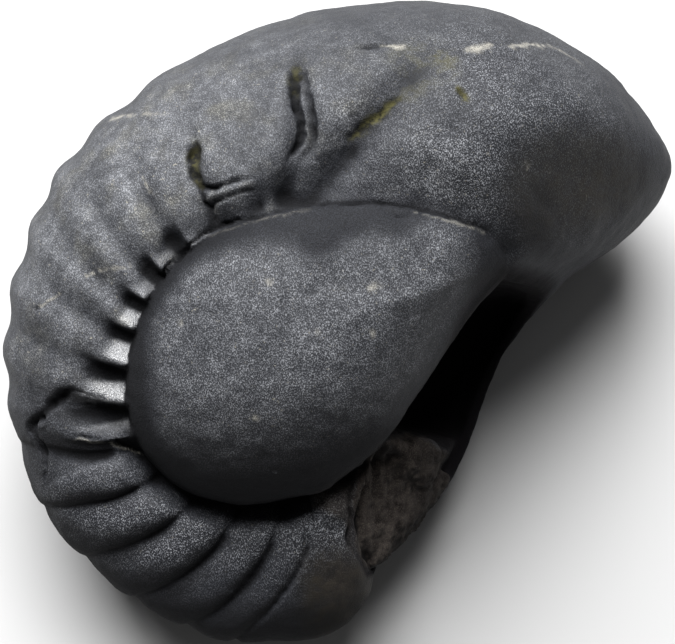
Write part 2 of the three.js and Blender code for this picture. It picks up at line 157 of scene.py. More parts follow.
def along_chain(x, y, chain):
    """Distance of x, y to a chain of points, and the chain's other values at the nearest place."""
    chain = np.array(chain, float)
    nearest = np.full(np.shape(x), 1e6)
    values = np.zeros(np.shape(x) + (chain.shape[1] - 2,))
    for start, end in zip(chain[:-1], chain[1:]):
        run = end[:2] - start[:2]
        share = np.clip(((x - start[0]) * run[0] + (y - start[1]) * run[1]) / (run @ run), 0, 1)
        off = np.hypot(x - start[0] - share * run[0], y - start[1] - share * run[1])
        closer = off < nearest
        nearest = np.where(closer, off, nearest)
        here = start[2:] + (end[2:] - start[2:]) * share[..., None]
        values = np.where(closer[..., None], here, values)
    return nearest, values


# how widely the two planes of the end face, and that face and the crown, run into one another
CREST_BLEND = 9


def end_face(x, y):
    """The blunt hollow end of the nose: two planes that fall away to the right."""
    outer = 26.4 - 1.4 * (0.669 * (x - 24.5) - 0.743 * (y - 26.5))
    inner = 23.2 - 1.0 * (0.995 * (x - 23) - 0.1 * (y - 12.8))
    return -smooth_min(-outer, -inner, CREST_BLEND)


# share of the depth from groove to groove beside the dome: out of a pocket steeply to the crest,
# then down a facet into the next pocket
STEP_PROFILE = np.array([
    (0, 1), (0.17, 1), (0.23, 0.6), (0.28, 0.06), (0.33, 0), (0.82, 0.8), (0.88, 1), (1, 1),
])
# how far the facets reach from the dome, by station, as a share of the whorl's width
STEP_REACH = np.array([(2.5, 0.5), (3.25, 0.48), (4.06, 0.28), (4.9, 0.18), (5.7, 0.14), (7, 0.14)])


def stepped_run(u):
    """1 on the left of the whorl, where the ribs are stepped facets, and 0 past its ends."""
    return between(u, 2.6, 7.4, 0.5)


def rib_relief(u, t):
    """How far the surface lies below the ribs' crests."""
    u = np.where(u > GROOVES[-1], u - len(STATIONS), u)
    on_ribs = (u >= GROOVES[0]) & (u <= GROOVES[-1])
    rib = np.clip(np.searchsorted(GROOVES, u, side="right") - 1, 0, len(GROOVES) - 2)
    phase = np.clip((u - GROOVES[rib]) / (GROOVES[rib + 1] - GROOVES[rib]), 0, 1)
    narrow = 1 - np.sin(np.pi * phase**0.6) ** 0.7
    wave = 0.5 + 0.5 * np.cos(2 * np.pi * phase)
    stepped = np.interp(phase, STEP_PROFILE[:, 0], STEP_PROFILE[:, 1])
    beside = np.exp(-(t / np.interp(u, STEP_REACH[:, 0], STEP_REACH[:, 1])) ** 4)
    left = stepped_run(u)
    groove = narrow + (wave + (stepped - wave) * np.minimum(1.3 * beside, 1) - narrow) * left
    # deep grooves all across the lower whorl, steps on the left, and only hints further up
    swell = 1.5 + 0.5 * smoothstep(t, 0.05, 0.35) - 0.9 * smoothstep(t, 0.75, 1)
    depth = between(u, -2.5, 2.6, 0.4) * swell * (1 - 0.3 * smoothstep(t, 0.45, 0.85))
    depth += left * (0.85 + 1.75 * beside)
    depth += between(u, 7.4, 9, 0.4) * (0.25 + 0.8 * np.exp(-(t / 0.17) ** 2))
    return np.where(on_ribs, groove * depth * np.maximum(left, smoothstep(t, 0, 0.04)), 0)


def swept(u, t):
    """The station that a groove which leaves the dome at u has reached at t of the width."""
    return u + np.interp(u, SWEEPS[:, 0], SWEEPS[:, 1]) * t**1.6 * (1.4 - 0.4 * t**2)


def flank_point(whorl, t, z, relief, inward):
    """A point of a flank, sunk by the relief: down its face, and by the rim toward the dome."""
    seam, rim = whorl[:, 0:2], whorl[:, 2:4]
    pull_in = smoothstep(t, 0.75, 1)
    width = np.linalg.norm(rim - seam, axis=1)
    reach = (t * width - relief * pull_in) / width
    plan = seam + (rim - seam) * reach[:, None]
    return np.column_stack([plan, z + inward * relief * (1 - pull_in)])


def near_flank(u, t):
    """The whorl on the dome's side, from the seam at t = 0 over the crown to the rim at t = 1."""
    whorl = curve_through(STATIONS, swept(u, t))
    shelf, rim_z, near, _, crown_at, shoulder, roundness = whorl[:, 5:12].T
    x, y = (whorl[:, 0:2] + (whorl[:, 2:4] - whorl[:, 0:2]) * t[:, None]).T
    flat = stepped_run(u)
    by_seam = 1 - smoothstep(t, 0, crown_at)
    crown = near - (near - shelf) * by_seam * (1 - flat) + 0.5 * flat * by_seam
    past = np.clip((t - crown_at) / (1 - crown_at), 0, 1)
    z = rim_z + (crown - rim_z) * (1 - past**shoulder) ** (1 / roundness)
    z = smooth_min(z, np.maximum(end_face(x, y), rim_z), CREST_BLEND)
    for chain in VALLEYS:
        off, values = along_chain(x, y, chain)
        z -= values[:, 1] * np.exp(-(off / values[:, 0]) ** 2) * (1 - smoothstep(t, 0.75, 1))
    return flank_point(whorl, t, z, rib_relief(u, t), -1)


def far_flank(u, t):
    """The whorl on the far side, rounder and with its ribs fading out toward the middle."""
    whorl = curve_through(STATIONS, swept(u, t))
    rim_z, far = whorl[:, 6], whorl[:, 8]
    z = rim_z + (far - rim_z) * np.sqrt(1 - t**2.4) + FAR_SEAM_DEPTH * np.exp(-(t / 0.12) ** 2)
    return flank_point(whorl, t, z, rib_relief(u, t) * smoothstep(t, 0.3, 1), 1)


def dome_point(u, share, top, edge, hood=0):
    """A point of the dome: a full curve down to the seam, and a soft foot where the hood begins."""
    seam = curve_through(STATIONS[:, 0:2], u)
    plan = DOME_MIDDLE + (seam - DOME_MIDDLE) * share[:, None]
    full = (1 - share**2.1) ** (1 / 1.9)
    soft = 0.5 + 0.5 * np.cos(np.pi * share**2.8)
    return np.column_stack([plan, edge + (top - edge) * (full + (soft - full) * hood)])


def near_dome(u, share):
    """The dome in the middle of the coil, which the end face of the nose cuts into a little."""
    hood = between(u, 13.6, 17.4, 2.2) * 0.7
    points = dome_point(u, share, DOME_TOP, curve_through(STATIONS[:, 4:5], u)[:, 0], hood)
    points[:, 2] = smooth_min(points[:, 2], end_face(points[:, 0], points[:, 1]), CREST_BLEND)
    return points


def far_dome(u, share):
    """The plain swelling in the middle of the far side."""
    return dome_point(u, share, FAR_DOME_TOP, curve_through(STATIONS[:, 8:9], u)[:, 0] + FAR_SEAM_DEPTH)


def coordinates(mesh, name="co"):
    """The places of the mesh's points, or their normals, as rows of x, y, z."""
    values = np.empty(len(mesh.vertices) * 3)
    mesh.vertices.foreach_get(name, values)
    return values.reshape(-1, 3)


def ball_of_rings(name, rings, first_tip, last_tip):
    """A ball made of a grid that is wrapped round, with its rows pulled to the given rings."""
    count = len(rings[0])
    tips = [np.tile(tip, (count, 1)) for tip in (first_tip, last_tip)]
    rows = np.array([tips[0], *rings, tips[1]])
    rows = np.concatenate([rows, rows[:, :1]], axis=1)
    bpy.ops.mesh.primitive_grid_add(x_subdivisions=count, y_subdivisions=len(rows) - 1, size=2)
    ball = bpy.context.object
    ball.name = name
    start = coordinates(ball.data)
    row = np.rint((start[:, 1] + 1) / 2 * (len(rows) - 1)).astype(int)
    column = np.rint((start[:, 0] + 1) / 2 * count).astype(int)
    ball.data.vertices.foreach_set("co", rows[row, column].ravel())
    ball.data.update()
    bpy.ops.object.mode_set(mode="EDIT")
    bpy.ops.mesh.select_all(action="SELECT")
    bpy.ops.mesh.remove_doubles(threshold=1e-4)
    bpy.ops.mesh.normals_make_consistent(inside=False)
    bpy.ops.object.mode_set(mode="OBJECT")
    return ball


# columns of the grid to a rib, and to a station where there are none, and rings of each surface
RIB_COLUMNS = 22
SMOOTH_COLUMNS = 13
DOME_RINGS = 40
FLANK_RINGS = 100
FAR_FLANK_RINGS = 46
FAR_DOME_RINGS = 14
rib_ends = np.interp(np.arange((len(GROOVES) - 1) * RIB_COLUMNS) / RIB_COLUMNS,
                     np.arange(len(GROOVES)), GROOVES)
smooth_run = GROOVES[0] + len(STATIONS) - GROOVES[-1]
smooth_ends = np.linspace(GROOVES[-1], GROOVES[-1] + smooth_run, round(smooth_run * SMOOTH_COLUMNS), False)
columns = np.concatenate([rib_ends, smooth_ends])


def rings_of(point_at, shares):
    """Closed rings of a surface, one for each share of the way across it."""
    return [point_at(columns, np.full(len(columns), share)) for share in shares]


def quarter_sine(count):
    """Shares from 0 to 1 that lie closer together toward 1, where the surface turns down."""
    return np.sin(np.linspace(0, math.pi / 2, count + 1))


coil_rings = rings_of(near_dome, quarter_sine(DOME_RINGS)[1:])
coil_rings += rings_of(near_flank, quarter_sine(FLANK_RINGS) ** 1.15)
coil_rings += rings_of(far_flank, quarter_sine(FAR_FLANK_RINGS)[-2::-1])
coil_rings += rings_of(far_dome, quarter_sine(FAR_DOME_RINGS)[-2:0:-1])
stone = ball_of_rings("shaligram", coil_rings, (*DOME_MIDDLE, DOME_TOP), (*DOME_MIDDLE, FAR_DOME_TOP))

# ==== The mouth ===================================================================================
# The coil is broken open under the nose: a deep hollow with a thin near lip along the dome and a
# thin far lip, still filled with rough matrix at its foot.

# lip x, y, far lip x, y, lip z, far lip z, reach under the dome, floor z, floor z under the dome
MOUTH_SECTIONS = np.array([
    (23.2, 6.4, 27, 5.6, 12, 2, 3, 1.5, 3),
    (22.4, 5.1, 30.3, 3.6, 12, -6, 9, -8, -5),
    (18.1, -0.1, 28.1, 0, 12.5, -9.5, 17, -14, -11),
    (14.6, -5.6, 24.5, -6.5, 11.5, -10, 22, -16, -13),
    (10.5, -12, 22, -12.7, 10.5, -10, 22, -16, -13),
    (8.6, -14.8, 20.8, -16.3, 10, -9.5, 18, -15, -12),
    (7.4, -16.5, 19, -19.8, 9.5, -9, 1.5, -1, 6),
    (4.8, -20.1, 16, -24.9, 8.5, -8, 1.5, 0, 5),
    (2.2, -26.2, 11.6, -30.5, 6.5, -7, 1.2, 0, 3),
    (2.6, -32.4, 8.4, -34.2, 4, -6, 1, -1, 1),
    (4.2, -36.6, 8.6, -37.4, 1, -5, 0.8, -2.5, -1.6),
])
MOUTH_RINGS = 51
LIP_THICKNESS = 1.5
# the level of the cutting shape's top, clear of the stone, and its reach past the far lip
CUT_TOP = 34
CUT_OVERREACH = 14


def mouth_ring(section):
    """One cut across the mouth: its floor, the far lip, the open top, the near lip and the roof."""
    lip_x, lip_y, far_x, far_y, lip_z, far_z, reach, floor, inner_floor = section
    across = np.array([far_x - lip_x, far_y - lip_y])
    width = np.linalg.norm(across)
    roof = lip_z - LIP_THICKNESS
    outline = np.array([
        (-0.8 * reach, inner_floor + 0.1 * reach), (-0.35 * reach, inner_floor), (0.45 * width, floor),
        (width - 2.6, (far_z + floor) / 2), (width - 1.6, far_z + 0.2),
        (width + CUT_OVERREACH, far_z + 1), (width + CUT_OVERREACH, CUT_TOP),
        (width / 2, CUT_TOP), (0.9, CUT_TOP), (0.7, lip_z + 4), (0.35, lip_z - 0.3),
        (-0.03 * reach - 0.1, lip_z - 1.3), (-0.3 * reach, roof - 0.07 * reach),
        (-0.75 * reach, roof - 0.19 * reach), (-reach, roof - 0.34 * reach),
    ])
    return np.column_stack([lip_x + across[0] / width * outline[:, 0],
                            lip_y + across[1] / width * outline[:, 0], outline[:, 1]])


mouth_places = np.linspace(0, len(MOUTH_SECTIONS) - 1, MOUTH_RINGS)
mouth_rings = [mouth_ring(section) for section in open_curve(MOUTH_SECTIONS, mouth_places)]
mouth_tips = [mouth_rings[end].mean(axis=0) for end in (0, -1)]
mouth = ball_of_rings("mouth space", mouth_rings, *mouth_tips)


def apply(target, kind, **settings):
    """Gives the target a modifier and applies it."""
    modifier = target.modifiers.new(kind.lower(), kind)
    for name, value in settings.items():
        setattr(modifier, name, value)
    bpy.ops.object.select_all(action="DESELECT")
    bpy.context.view_layer.objects.active = target
    target.select_set(True)
    bpy.ops.object.modifier_apply(modifier=modifier.name)


apply(stone, "BOOLEAN", object=mouth, operation="DIFFERENCE", solver="MANIFOLD")
mouth_skin = BVHTree.FromPolygons([vertex.co for vertex in mouth.data.vertices],
                                  [tuple(face.vertices) for face in mouth.data.polygons])
bpy.data.objects.remove(mouth)

# ==== The base facet ==============================================================================
# The flat the stone rests on, worn by lying on the river bed. It is level when the coil's face
# leans back, so it is cut with a block that leans the other way in the coil's own frame.

LEAN = math.radians(13)
BASE_LEVEL = -26
lean = Matrix.Rotation(LEAN, 4, "X")
GROUND_SIZE = 200
bpy.ops.mesh.primitive_cube_add(size=GROUND_SIZE)
ground = bpy.context.object
ground_top = BASE_LEVEL * math.cos(LEAN)
ground.data.transform(lean.inverted() @ Matrix.Translation((0, 0, ground_top - GROUND_SIZE / 2)))
apply(stone, "BOOLEAN", object=ground, operation="DIFFERENCE", solver="MANIFOLD")
bpy.data.objects.remove(ground)

# ==== The matrix ==================================================================================
# Hardened mud that still fills the foot of the mouth: a rough grey-brown wall that slopes down to
# the far lip, with a blunt head at its upper end. It was never polished.

# balls that each form is stretched tight over: middle x, y, z and radius
MATRIX_WALL = [
    (3.4, -21.0, 4.4, 1.4), (3.2, -31.0, 3.4, 1.4), (4.8, -35.0, 0.4, 1.2), (6.6, -34.6, -4.2, 1.0),
    (10.8, -30.2, -4.8, 1.2), (15.2, -23.6, -5.4, 1.6),
]
MATRIX_HEAD = [
    (9.2, -18.8, 1.4, 2.0), (13.0, -19.4, -1.2, 2.3), (12.6, -22.4, -2.2, 2.4), (7.6, -21.6, 1.0, 1.8),
    (10.4, -20.0, -5.0, 3.0),
]
for balls in (MATRIX_WALL, MATRIX_HEAD):
    for *middle, radius in balls:
        bpy.ops.mesh.primitive_ico_sphere_add(subdivisions=3, radius=1)
        bpy.context.object.data.transform(Matrix.Translation(middle) @ Matrix.Scale(radius, 4))
    for piece in bpy.context.scene.objects:
        piece.select_set(piece.name.startswith("Icosphere"))
    bpy.ops.object.join()
    fill = bpy.context.object
    bpy.ops.object.mode_set(mode="EDIT")
    bpy.ops.mesh.select_all(action="SELECT")
    bpy.ops.mesh.convex_hull()
    bpy.ops.mesh.normals_make_consistent(inside=False)
    bpy.ops.object.mode_set(mode="OBJECT")
    apply(stone, "BOOLEAN", object=fill, operation="UNION", solver="MANIFOLD")
    bpy.data.objects.remove(fill)

# ==== River wear ==================================================================================
# Water and gravel rounded every edge a little, left the surface gently uneven and opened its
# cracks. All of it is relief, worked into an even mesh of small cells.

# the edge of one cell of the even mesh, in millimetres, and the most triangles kept of it
CELL = 0.35
MOST_TRIANGLES = 190000
apply(stone, "REMESH", mode="VOXEL", voxel_size=CELL)
apply(stone, "SMOOTH", factor=0.5, iterations=3)


def uneven(points, size, octaves=3):
    """Smooth noise over the points, about -1 to 1, whose lumps are of the given size."""
    return np.array([noise.fractal(point, 0.9, 2.0, octaves) for point in (points / size).tolist()])


def in_outline(x, y, outline):
    """1 inside the closed outline and 0 outside it."""
    inside = np.zeros(np.shape(x), bool)
    for (x0, y0), (x1, y1) in zip(outline, outline[1:] + outline[:1]):
        crosses = (y0 > y) != (y1 > y)
        with np.errstate(divide="ignore", invalid="ignore"):
            inside ^= crosses & (x < (x1 - x0) * (y - y0) / (y1 - y0) + x0)
    return inside


def outline_depth(x, y, outline):
    """Distance to the outline, positive inside it."""
    off, _ = along_chain(x, y, outline + outline[:1])
    return np.where(in_outline(x, y, outline), off, -off)


# the broken ground at the foot of the mouth, seen from the dome's side
MATRIX_OUTLINE = [
    (6.0, -17.4), (8.0, -16.4), (10.6, -16.2), (14.0, -17.4), (17.2, -20.0), (17.2, -24.0),
    (13.4, -30.0), (9.0, -35.5), (4.4, -36.4), (2.6, -33.4), (2.1, -28.7), (1.9, -25.4), (2.6, -21.0),
]
# the crumbling corner of the whorl beside it
CRUMBLED = [
    (-3.7, -24.6), (-1.1, -22.8), (1.1, -21.4), (2.6, -20.2), (2.6, -26.0), (2.4, -34.0),
    (1.2, -32.0), (0.8, -28.6), (-1.8, -27.5), (-3.7, -26.9),
]

# cracks, chips and ridges: x, y, half width, depth (a ridge has a depth under 0)
CRACKS = {
    "olive slot": [(-19.6, 25.2, 0.3, 0), (-19.9, 24.2, 0.7, 0.9), (-20.1, 22.9, 0.75, 1.2),
                   (-19.8, 20.5, 0.5, 1.0), (-18.8, 18.9, 0.45, 1.0), (-17.9, 18.4, 0.35, 0.9),
                   (-15.8, 18.8, 0.26, 0.7), (-14.1, 19.5, 0.26, 0.7), (-11.5, 19.8, 0.22, 0.2)],
    "slot foot": [(-18.8, 18.7, 0.35, 0.8), (-18.7, 17.6, 0.3, 0.8), (-18.2, 16.3, 0.3, 0.8),
                  (-17.4, 15.6, 0.3, 0.6), (-16.9, 14.4, 0.4, 0.4)],
    "slot ridge": [(-17.9, 17.0, 0.45, -0.3), (-16.8, 17.7, 0.4, -0.35), (-15.2, 18.1, 0.35, -0.3),
                   (-13.1, 18.8, 0.35, -0.3), (-11.8, 18.9, 0.3, -0.1)],
    "under ridge": [(-17.3, 15.9, 0.25, 0.4), (-16.6, 16.6, 0.22, 0.45), (-15, 17.1, 0.2, 0.35),
                    (-13, 17.8, 0.2, 0.3), (-11.5, 18.1, 0.2, 0.1)],
    "long cleft": [(-5.5, 36.0, 0.5, 0.1), (-6.0, 34.1, 0.7, 0.9), (-5.9, 31.5, 0.5, 1.1),
                   (-5.5, 29.3, 0.45, 1.2), (-4.8, 26.9, 0.45, 1.2), (-5.0, 25.2, 0.45, 1.1),
                   (-5.6, 23.9, 0.4, 0.9), (-6.6, 22.5, 0.3, 0.2)],
    "cleft strip": [(-5.2, 33.5, 0.4, -0.2), (-4.9, 31, 0.4, -0.4), (-4.4, 28.5, 0.4, -0.45),
                    (-4.1, 26.5, 0.4, -0.45), (-4.3, 24.6, 0.4, -0.4), (-5.3, 23, 0.4, -0.2)],
    "cleft side": [(-4.7, 34.4, 0.5, 0.3), (-4.1, 31.2, 0.55, 0.6), (-3.7, 28.4, 0.55, 0.7),
                   (-3.4, 26.3, 0.55, 0.7), (-3.7, 24.2, 0.5, 0.6), (-5, 22.4, 0.4, 0.2)],
    "golden groove": [(1.7, 25.2, 0.5, 0.2), (3.8, 27.1, 0.6, 0.6), (5.4, 28.4, 0.6, 0.7),
                      (7.8, 30.3, 0.5, 0.6), (8.9, 31.3, 0.4, 0.1)],
    "golden valley": [(11.2, 34.5, 1.2, 0.05), (9.6, 32.5, 1.4, 0.15), (8.1, 29.6, 1.4, 0.2),
                      (5.3, 26.6, 1.4, 0.2), (2.4, 23.7, 1.2, 0.2), (-0.6, 20.4, 1, 0.1),
                      (-3.4, 17.6, 1, 0.1)],
    "golden pit": [(16.4, 32.4, 0.25, 0.2), (17.0, 31.6, 0.35, 0.8), (17.9, 30.6, 0.25, 0.3)],
    "seam": [(-24.6, 6.4, 0.4, 0.9), (-20.9, 10.2, 0.3, 0.7), (-18.3, 12.3, 0.25, 0.6),
             (-15.4, 13.7, 0.22, 0.5), (-11.6, 14.5, 0.2, 0.45), (-8.1, 15.3, 0.2, 0.45),
             (-3.7, 16.0, 0.22, 0.5), (0.3, 16.3, 0.24, 0.5), (4.4, 16.4, 0.18, 0.4),
             (8.2, 16.1, 0.18, 0.4), (11.3, 15.6, 0.18, 0.4), (15.0, 14.5, 0.16, 0.35),
             (18.4, 13.6, 0.2, 0.35), (21.4, 12.5, 0.2, 0)],
    "seam flake": [(5.9, 16.3, 0.4, 0.1), (6.8, 15.0, 0.5, 0.35), (8.2, 14.3, 0.55, 0.4),
                   (9.7, 14.5, 0.45, 0.3), (10.4, 15.5, 0.3, 0.1)],
    "fissure": [(-32.0, -11.4, 0.9, 0.3), (-34.6, -10.9, 0.8, 0.9), (-36.6, -10.3, 0.7, 1.1),
                (-38.3, -10.2, 0.7, 1.2), (-39.9, -11.2, 0.8, 1.3), (-41.9, -12.9, 0.7, 1.4),
                (-43.7, -14.7, 0.6, 1.3), (-43.5, -16.4, 0.5, 1.1), (-42.6, -17.9, 0.4, 1),
                (-42.2, -19.9, 0.35, 0.8), (-42.3, -22, 0.35, 0.6), (-42, -24.3, 0.3, 0.1)],
    "upper flake": [(-37.6, -16.6, 0.25, 0.1), (-36.1, -16.2, 0.3, 0.5), (-34.8, -16.7, 0.3, 0.5),
                    (-33.5, -16.7, 0.25, 0.1)],
    "lower flake": [(-32.1, -17, 0.25, 0.3), (-30.9, -17.5, 0.3, 0.6), (-29.7, -17.9, 0.3, 0.6),
                    (-28, -18.7, 0.25, 0.3)],
    "matrix crack": [(2.0, -23.6, 0.3, 0.3), (1.5, -25.4, 0.35, 0.8), (1.9, -28.7, 0.3, 0.7),
                     (1.7, -31.0, 0.45, 0.9), (2.4, -33.4, 0.3, 0.4)],
    "left scratch": [(-42.8, 1.8, 0.3, 0.5), (-41.5, 2.4, 0.2, 0.2), (-38.8, 4.3, 0.2, 0.1)],
    "top crack": [(2.2, 38.0, 0.3, 0.2), (4, 38.5, 0.3, 0.5), (6, 38.7, 0.3, 0.4), (7.6, 38.7, 0.2, 0.1)],
}
# the chip between the fissure and the dome that has sunk a little
CHIP = [(-38.4, -10.4), (-43.4, -15.0), (-42.0, -19.9), (-42, -24), (-35, -21), (-28.6, -18), (-31, -12)]


def beside_chain(x, y, chain, reach=3.0):
    """Which places lie near a chain, their distance to it, and its half width and value there."""
    smooth = open_curve(np.array(chain, float), np.linspace(0, len(chain) - 1, 4 * len(chain) - 3))
    low, high = smooth[:, :2].min(axis=0) - reach, smooth[:, :2].max(axis=0) + reach
    near = np.flatnonzero((x > low[0]) & (x < high[0]) & (y > low[1]) & (y < high[1]))
    off, values = along_chain(x[near], y[near], smooth)
    return near, off, np.maximum(values[:, 0], 0.05), values[:, 1]


def crack_relief(x, y):
    """How far the cracks lie below the surface at x, y, the ridges above it."""
    depth = np.zeros(np.shape(x))
    for chain in CRACKS.values():
        near, off, half_width, deep = beside_chain(x, y, chain)
        depth[near] += deep * np.exp(-(off / half_width) ** 2)
    return depth


# how far along a line, in millimetres, its wander changes, and how far it is pushed. This noise
# starts from the clock unless it is given a seed.
WANDER_LENGTH = 1.3
WANDER_PUSH = 0.32
WANDER_SEED = 7
noise.seed_set(WANDER_SEED)


def wandering(points):
    """The points' x and y, pushed about so that lines run unevenly, and noise from -1 to 1."""
    push = np.array([noise.noise_vector(point) for point in (points / WANDER_LENGTH).tolist()])
    moved = points + WANDER_PUSH * push
    return moved[:, 0], moved[:, 1], push[:, 2]


def patch(x, y, middle, half_size, power=2):
    """A soft patch, 1 at its middle and fading to 0 past its half size."""
    (middle_x, middle_y), (half_x, half_y) = middle, half_size
    return np.exp(-((x - middle_x) / half_x) ** power - ((y - middle_y) / half_y) ** power)


SEAM_STEP = 0.25
seam_line = curve_through(STATIONS[:, 0:2], np.arange(0, len(STATIONS), SEAM_STEP))
points, normals = coordinates(stone.data), coordinates(stone.data, "normal")
x, y, z = points.T
wander_x, wander_y, patchy = wandering(points)
faces_near = smoothstep(normals[:, 2], 0.0, 0.35) * smoothstep(z, -6, 2)
in_matrix = smoothstep(outline_depth(wander_x, wander_y, MATRIX_OUTLINE), -0.4, 0.8)
in_matrix *= smoothstep(z, -9, -5)
sink = crack_relief(wander_x, wander_y) * faces_near * (1 - in_matrix) * (0.9 + 0.6 * patchy)
sink += 0.4 * smoothstep(outline_depth(wander_x, wander_y, CHIP), -0.2, 1.2) * faces_near

# the crumbling corner stands a little proud
sink -= 2.4 * patch(x, y, (-1.2, -25.6), (2.8, 2.4)) * faces_near

# gentle unevenness all over, and the broken face of the matrix
sink += 0.26 * uneven(points, 9, 2) + 0.1 * uneven(points, 3.2, 3)
crumbled = smoothstep(outline_depth(wander_x, wander_y, CRUMBLED), -0.4, 0.8) * faces_near
rough = np.maximum(in_matrix, 0.5 * crumbled)
broken = rough > 0
streaks = 0.46 * uneven(points[broken] * (1, 0.3, 1), 1.5, 3) + 0.3 * uneven(points[broken], 4, 2)
sink[broken] += rough[broken] * (streaks + 0.18 * uneven(points[broken], 0.9, 2))
points = points - normals * sink[:, None]

# nothing may reach below the flat that the stone rests on
up = np.array(lean.inverted().to_3x3() @ Vector((0, 0, 1)))
points += np.maximum(ground_top - points @ up, 0)[:, None] * up
stone.data.vertices.foreach_set("co", points.ravel())
stone.data.update()


def hollowness(mesh, rounds):
    """How far each point lies below the surface averaged over its surroundings, in millimetres."""
    edges = np.empty(len(mesh.edges) * 2, np.int32)
    mesh.edges.foreach_get("vertices", edges)
    first, second = edges.reshape(-1, 2).T
    here = coordinates(mesh)
    smooth = here.copy()
    neighbours = np.bincount(edges, minlength=len(here))
    for _ in range(rounds):
        for axis in range(3):
            total = np.bincount(first, smooth[second, axis], len(here))
            total += np.bincount(second, smooth[first, axis], len(here))
            smooth[:, axis] = total / neighbours
    return np.einsum("ij,ij->i", smooth - here, coordinates(mesh, "normal"))


hollow = hollowness(stone.data, rounds=60)
fine_points = KDTree(len(hollow))
for index, point in enumerate(coordinates(stone.data).tolist()):
    fine_points.insert(point, index)
fine_points.balance()
apply(stone, "DECIMATE", ratio=min(1, MOST_TRIANGLES / (2 * len(stone.data.polygons))))

# ==== The surface =================================================================================
# Black shale polished by water. A dusty grey bloom lies on what stands proud, a clean dark patina
# rings the dome, dirt fills the cracks, iron stains the clefts olive and gold, and painted light and
# shade lighten and darken the bloom and darken the hollows, the pockets and what lies under overhangs.

# the edge of the bloom on the dome
DOME_BLOOM = [
    (-25.5, -9.9), (-25.5, -5.2), (-25.5, -0.7), (-23.5, 3.0), (-21.1, 6.1), (-18.2, 8.4),
    (-14.3, 9.9), (-9.9, 10.7), (-6.1, 10.4), (-3.9, 8.2), (-0.9, 8.6), (1.7, 10.6), (5.2, 12.0),
    (8.7, 11.3), (10.6, 12.5), (13.7, 14.0), (16.0, 13.7), (18.1, 11.9), (19.1, 8.3), (17.7, 3.1),
    (14.6, -2.5), (10.6, -9.8), (4.6, -16.3), (-2.5, -20.2), (-11.0, -22.6), (-19.1, -20.5),
    (-24.6, -15.6),
]
# how far the shining facets reach from the dome, in millimetres, by y
FACET_REACH = np.array([(-17, 9), (-12, 8), (-8.5, 5.5), (-3, 3.4), (0, 2.8), (5, 2.2), (12, 2)])
# bare dark stone where the water keeps running, and painted shade in the valleys and at the foot
# of the nose: x, y, half width, strength
BARE_AND_SHADE = [
    [(10.4, 35.1, 1.2, 0.1), (7.0, 31.9, 1.4, 0.3), (3.5, 27.3, 1.4, 0.35), (0.4, 22.9, 1.6, 0.3),
     (-2.1, 18.6, 1.6, 0.3), (-4.9, 16.7, 1.4, 0.2)],
    [(-5.8, 36.0, 1.0, 0.4), (-6.4, 30.8, 1.4, 0.6), (-6.6, 24.4, 1.8, 0.5), (-8.0, 17.6, 1.8, 0.5)],
    [(23.5, 15.0, 2.6, 0.4), (27.5, 14.0, 4.2, 0.85), (31.5, 10.6, 4.0, 0.6), (34, 8.5, 3, 0.3)],
    [(-10.4, 21.2, 1.0, 0.4), (-10.3, 18.2, 1.6, 0.7), (-11.3, 16.1, 1.4, 0.6)],
    [(-20.4, 13.3, 1.4, 0.5), (-23.0, 10.6, 1.6, 0.7), (-24.8, 8.4, 1.4, 0.6)],
    [(-1.1, 44.5, 1.2, 0.5), (3.5, 41.3, 1.2, 0.5), (7.6, 39.0, 1.0, 0.4)],
]
# stains: x, y, half width, strength
STAINS = [
    [(-19.8, 25.0, 0.8, 0.4), (-20.0, 23, 0.8, 0.6), (-19.8, 20.6, 0.7, 0.5), (-18.8, 18.8, 0.5, 0.3)],
    [(-5.6, 35.6, 0.9, 0.4), (-6.0, 33.8, 1.0, 0.45), (-5.8, 31.8, 0.7, 0.2)],
    [(1.9, 25.4, 0.5, 0.4), (3.9, 27.1, 0.7, 1), (5.6, 28.5, 0.7, 1), (8.0, 30.5, 0.5, 0.8),
     (9.0, 31.5, 0.4, 0.2)],
    [(13.6, 37.2, 1.2, 0.4), (15.4, 36.4, 1.2, 0.5), (15.9, 34.7, 1.0, 0.3)],
    [(16.4, 32.4, 0.4, 0.9), (17.9, 30.6, 0.4, 0.9)],
    [(8.5, 37.0, 2.0, 0.2), (13.0, 36.0, 2.6, 0.3), (10.0, 31.5, 2.0, 0.2)],
]
# painted shade in the valleys between ribs, out by the rim: x, y, half width, strength
RIM_VALLEY_SHADE = [
    [(-36.5, -34.5, 1.6, 0.5), (-31.8, -33.4, 2.3, 0.75), (-27.0, -31.0, 1.5, 0.4)],
    [(-28.0, -41.0, 1.8, 0.6), (-23.8, -39.0, 2.3, 0.8), (-20.0, -36.5, 1.5, 0.5)],
    [(-20.0, -44.5, 2.0, 0.6), (-15.2, -43.0, 2.7, 0.75), (-11.0, -41.0, 2.0, 0.5)],
    [(-43.5, -11.0, 2.0, 0.4), (-43.0, -18.0, 2.6, 0.5), (-41.5, -24.0, 2.0, 0.4)],
]
